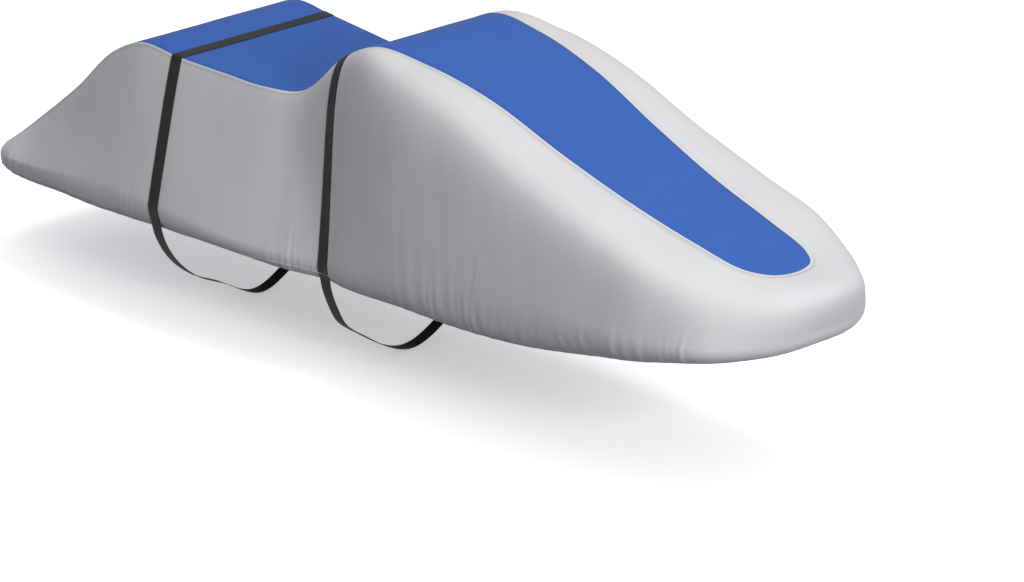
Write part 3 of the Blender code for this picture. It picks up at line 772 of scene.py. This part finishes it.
# ================================================================ tie-down webbing
# Two straps of charcoal polyester webbing, sewn into loops: over the cover in a straight line
# across, down both sides and closed under the hull.
WEB_THICK = 0.0020
WEB_BODY = 0.7              # share of it that the rounded edges keep
WEB_GAP = 0.0006            # left between webbing and cloth
WEB_CUTS = 9                # mesh rows across the webbing
UNDER_CUTS = 116            # mesh rows along the part that hangs under the hull
ACROSS_CUTS = 40            # and along the straight part across the panel
# Mesh rows above the hem where each strap leaves the cloth.
LEAVES = {"strap_rear": 4, "strap_front": 1}
# The path below the hem, from the side down to the keel line: name, half width, height.
UNDER = {
    "strap_rear": (("side", 0.412, -0.576), ("flank", 0.364, -0.656), ("chine", 0.278, -0.733),
                   ("floor", 0.165, -0.787), ("keel", 0.000, -0.858)),
    "strap_front": (("side", 0.343, -0.576), ("flank", 0.318, -0.642), ("chine", 0.285, -0.702),
                    ("floor", 0.206, -0.763), ("keel", 0.000, -0.858)),
}


def smooth_path(points, count):
    """Even points along a smooth curve through the given ones."""
    points = np.asarray(points)
    steps = np.linalg.norm(np.diff(points, axis=0), axis=1)
    at = np.concatenate([[0.0], np.cumsum(steps)])
    even = np.linspace(0, at[-1], count)
    k = np.clip(np.searchsorted(at, even, side="right") - 1, 0, len(at) - 2)
    slope = np.gradient(points, at, axis=0)
    gap = (at[k + 1] - at[k])[:, None]
    s = ((even - at[k]) / (at[k + 1] - at[k]))[:, None]
    return hermite(s, gap, points[k], points[k + 1], slope[k], slope[k + 1])


def strap_section(name, offset):
    """Closed line of the webbing at one distance from its middle, before its own thickness."""
    x = STRAPS[name] + offset
    half = len(SKIRT_RUNS) - 1
    rows = len(WALL_ROWS) + len(TUCK_ROWS)
    run = run_at_x(x)
    sides = []
    for hand in (0, 1):
        part = SKIRT_GRID[:half + 1] if hand == 0 else SKIRT_GRID[:half - 1:-1]
        k = int(np.clip(np.searchsorted(SKIRT_RUNS, run) - 1, 0, half - 1))
        s = (run - SKIRT_RUNS[k]) / (SKIRT_RUNS[k + 1] - SKIRT_RUNS[k])
        sides.append((part[k] * (1 - s) + part[k + 1] * s)[:rows - LEAVES[name]])
    starboard, port = sides
    across = [starboard[0] * (1 - t) + port[0] * t for t in np.linspace(0, 1, ACROSS_CUTS)[1:-1]]
    under = [np.array((x, y, z)) for _, y, z in UNDER[name]]
    over = np.concatenate([starboard[::-1], across, port])
    low = [port[-1]] + under + [p * (1, -1, 1) for p in under[-2::-1]] + [starboard[-1]]
    low = smooth_path(low, UNDER_CUTS)
    return np.concatenate([over, low[1:-1]])


def webbing(name):
    lines = [strap_section(name, s * WEB_WIDE / 2) for s in np.linspace(-1, 1, WEB_CUTS)]
    grid = np.stack(lines, axis=1)
    n = len(grid)
    tangent = np.roll(grid, -1, axis=0) - np.roll(grid, 1, axis=0)
    side = np.zeros_like(grid)
    side[..., 0] = 1.0
    out = np.cross(side, tangent)
    out /= np.linalg.norm(out, axis=-1)[..., None]
    middle = grid.mean(axis=(0, 1))
    if ((grid - middle) * out).sum() < 0:
        out = -out
    for _ in range(3):
        out = (np.roll(out, 1, axis=0) + out + np.roll(out, -1, axis=0))
        out /= np.linalg.norm(out, axis=-1)[..., None]
    share = np.linspace(-1, 1, WEB_CUTS)[None, :, None]
    outer = grid + out * (WEB_GAP + WEB_THICK * (1.0 - 0.30 * np.abs(share)**6))
    steps = np.linalg.norm(np.roll(grid, -1, axis=0) - grid, axis=-1).mean(axis=1)
    along = np.concatenate([[0.0], np.cumsum(steps)])
    ring = np.concatenate([outer, outer[:1]])
    cloth = np.stack(np.broadcast_arrays(along[:, None], share[..., 0] * WEB_WIDE / 2), axis=-1)
    thing = sheet_object(name + "_webbing", ring, cloth)
    joined = thing.modifiers.new("closed_loop", "WELD")
    joined.merge_threshold = 0.0001
    thicken(thing, WEB_THICK * WEB_BODY)
    return thing, along[-1]


def ribs_group():
    """Woven ribs of webbing: a fine cross rib with herringbone lean and a firmer edge."""
    group, given, made = group_with(
        "webbing_ribs",
        [("Cloth", "NodeSocketVector", None), ("Rib pitch", "NodeSocketFloat", 0.0022),
         ("Half width", "NodeSocketFloat", 0.0225)],
        [("Height", "NodeSocketFloat"), ("Edge", "NodeSocketFloat")])
    split = group.nodes.new("ShaderNodeSeparateXYZ")
    group.links.new(given.outputs["Cloth"], split.inputs[0])
    turns = maths(group, "DIVIDE", 2 * math.pi, given.outputs["Rib pitch"])
    lean = maths(group, "PINGPONG", split.outputs[1], 0.0056)
    slant = maths(group, "ADD", split.outputs[0], lean)
    rib = maths(group, "SINE", maths(group, "MULTIPLY", slant, turns))
    warp_turns = maths(group, "MULTIPLY", turns, 1.6)
    warp = maths(group, "SINE", maths(group, "MULTIPLY", split.outputs[1], warp_turns))
    height = maths(group, "MULTIPLY_ADD", rib, 0.35, maths(group, "MULTIPLY_ADD", warp, 0.15, 0.5))
    share = maths(group, "DIVIDE", maths(group, "ABSOLUTE", split.outputs[1]),
                  given.outputs["Half width"])
    edge = maths(group, "POWER", share, 8.0, clamp=True)
    wire(group, [(height, made.inputs["Height"]), (edge, made.inputs["Edge"])])
    return group


RIBS = ribs_group()
WEB_COLOUR = (0.0101, 0.0104, 0.0112, 1.0)
# lighter colour for the painted highlight on the webbing's edges and rib crests, and for its uneven
# tone
WEB_HIGHLIGHT_AND_TONE = (0.0202, 0.0208, 0.0219, 1.0)


def webbing_material():
    material, tree, shader = new_material("charcoal_webbing")
    cloth = cloth_lengths(tree, "cloth")
    ribs = group_node(tree, RIBS, Rib_pitch=0.0022, Half_width=0.0225)
    handling = group_node(tree, HANDLING, Patch_size=0.12, Crease_size=0.03)
    wire(tree, [(cloth, ribs.inputs["Cloth"]), (cloth, handling.inputs["Cloth"])])
    # Painted highlight along the webbing's edges and on its rib crests, mixed with the webbing's own
    # uneven tone.
    highlight_and_tone = maths(tree, "MULTIPLY_ADD", ribs.outputs["Edge"], 0.55,
                   maths(tree, "MULTIPLY", handling.outputs["Tint"], 0.30))
    crest = maths(tree, "MULTIPLY", ribs.outputs["Height"], 0.35)
    colour = mix_colour(tree, maths(tree, "ADD", highlight_and_tone, crest, clamp=True), WEB_COLOUR, WEB_HIGHLIGHT_AND_TONE)
    rough = maths(tree, "MULTIPLY_ADD", handling.outputs["Gloss"], 0.18, 0.58)
    relief = bump_node(tree, 0.6, 0.0004)
    wire(tree, [(ribs.outputs["Height"], relief.inputs["Height"]),
                (relief.outputs[0], shader.inputs["Normal"]),
                (colour, shader.inputs["Base Color"]), (rough, shader.inputs["Roughness"])])
    shader.inputs["Sheen Weight"].default_value = 0.05
    shader.inputs["Sheen Roughness"].default_value = 0.4
    shader.inputs["Specular IOR Level"].default_value = 0.2
    return material


WEBBING = webbing_material()
for strap_name in STRAPS:
    strap, loop_long = webbing(strap_name)
    strap.data.materials.append(WEBBING)
    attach(strap, "root")
    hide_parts(strap_name)


# ================================================================ floor, light and camera
# A plain pale studio: seamless floor, a broad soft light overhead and a little to port, another
# ahead of the bow and a little to starboard, and an even sky that fills the near side.
FLOOR_GAP = 0.006           # the webbing hangs this far above the floor
FLOOR_HALF = 60.0
CAMERA_AIM = Vector((0.990, 0.0, -0.547))
CAMERA_TURN = 46.1          # degrees from the starboard side towards the bow
CAMERA_RISE = 20.2
CAMERA_AWAY = 18.62
LENS = 210.94

floor_z = cad_box[0].z - FLOOR_GAP
corners = [(-FLOOR_HALF, -FLOOR_HALF), (FLOOR_HALF, -FLOOR_HALF),
           (FLOOR_HALF, FLOOR_HALF), (-FLOOR_HALF, FLOOR_HALF)]
floor_mesh = bpy.data.meshes.new("studio_floor")
floor_mesh.from_pydata([(x, y, floor_z) for x, y in corners], [], [(0, 1, 2, 3)])
floor = bpy.data.objects.new("studio_floor", floor_mesh)
bpy.context.scene.collection.objects.link(floor)


def studio_paper():
    """Pale matt paper that glows a little, and is open to a look from below."""
    material, tree, shader = new_material("studio_paper")
    shader.inputs["Base Color"].default_value = (0.86, 0.87, 0.88, 1)
    shader.inputs["Roughness"].default_value = 0.9
    shader.inputs["Specular IOR Level"].default_value = 0.1
    shader.inputs["Emission Color"].default_value = (1, 1, 1, 1)
    shader.inputs["Emission Strength"].default_value = 0.40
    open_below = tree.nodes.new("ShaderNodeBsdfTransparent")
    facing = tree.nodes.new("ShaderNodeNewGeometry")
    pick = tree.nodes.new("ShaderNodeMixShader")
    wire(tree, [(facing.outputs["Backfacing"], pick.inputs[0]), (shader.outputs[0], pick.inputs[1]),
                (open_below.outputs[0], pick.inputs[2]),
                (pick.outputs[0], tree.nodes["Material Output"].inputs["Surface"])])
    return material


floor_mesh.materials.append(studio_paper())
floor.visible_diffuse = False


def area_light(name, where, aim, size, watts):
    data = bpy.data.lights.new(name, "AREA")
    data.shape = "SQUARE"
    data.size = size
    data.energy = watts
    light = bpy.data.objects.new(name, data)
    light.location = where
    light.rotation_euler = (Vector(aim) - Vector(where)).to_track_quat("-Z", "Y").to_euler()
    bpy.context.scene.collection.objects.link(light)


area_light("overhead_softbox", (0.9, 1.6, 7.6), (0.7, 0.1, 0.0), 4.0, 262)
area_light("bow_softbox", (10.0, -3.0, 3.2), (1.0, 0.0, -0.2), 2.6, 730)
SKY_BELOW = (0.05, 0.05, 0.055, 1)
SKY_LEVEL = (0.33, 0.34, 0.36, 1)
SKY_ABOVE = (0.86, 0.86, 0.86, 1)


def studio_sky():
    """Sky that lights the cover from dark below to pale overhead, and is plain white when seen."""
    world = bpy.data.worlds.new("studio_sky")
    world.use_nodes = True
    sky = world.node_tree
    place = sky.nodes.new("ShaderNodeTexCoord")
    split = sky.nodes.new("ShaderNodeSeparateXYZ")
    ramp = sky.nodes.new("ShaderNodeValToRGB")
    ramp.color_ramp.elements[0].position = 0.0
    ramp.color_ramp.elements[0].color = SKY_BELOW
    ramp.color_ramp.elements[1].position = 1.0
    ramp.color_ramp.elements[1].color = SKY_ABOVE
    ramp.color_ramp.elements.new(0.5).color = SKY_LEVEL
    seen = sky.nodes.new("ShaderNodeBackground")
    seen.inputs["Color"].default_value = (1, 1, 1, 1)
    rays = sky.nodes.new("ShaderNodeLightPath")
    choose = sky.nodes.new("ShaderNodeMixShader")
    wire(sky, [(place.outputs["Generated"], split.inputs[0]),
               (maths(sky, "MULTIPLY_ADD", split.outputs[2], 0.5, 0.5), ramp.inputs[0]),
               (ramp.outputs[0], sky.nodes["Background"].inputs["Color"]),
               (rays.outputs["Is Camera Ray"], choose.inputs[0]),
               (sky.nodes["Background"].outputs[0], choose.inputs[1]),
               (seen.outputs[0], choose.inputs[2]),
               (choose.outputs[0], sky.nodes["World Output"].inputs["Surface"])])
    return world


bpy.context.scene.world = studio_sky()
bpy.context.scene.view_settings.view_transform = "Standard"

turn, rise = math.radians(CAMERA_TURN), math.radians(CAMERA_RISE)
back = Vector((math.sin(turn) * math.cos(rise), -math.cos(turn) * math.cos(rise), math.sin(rise)))
camera_data = bpy.data.cameras.new("view")
camera_data.lens = LENS
camera_data.sensor_width = 36.0
camera_data.clip_end = 200.0
camera = bpy.data.objects.new("view", camera_data)
camera.location = CAMERA_AIM + back * CAMERA_AWAY
camera.rotation_euler = (-back).to_track_quat("-Z", "Y").to_euler()
bpy.context.scene.collection.objects.link(camera)
bpy.context.scene.camera = camera
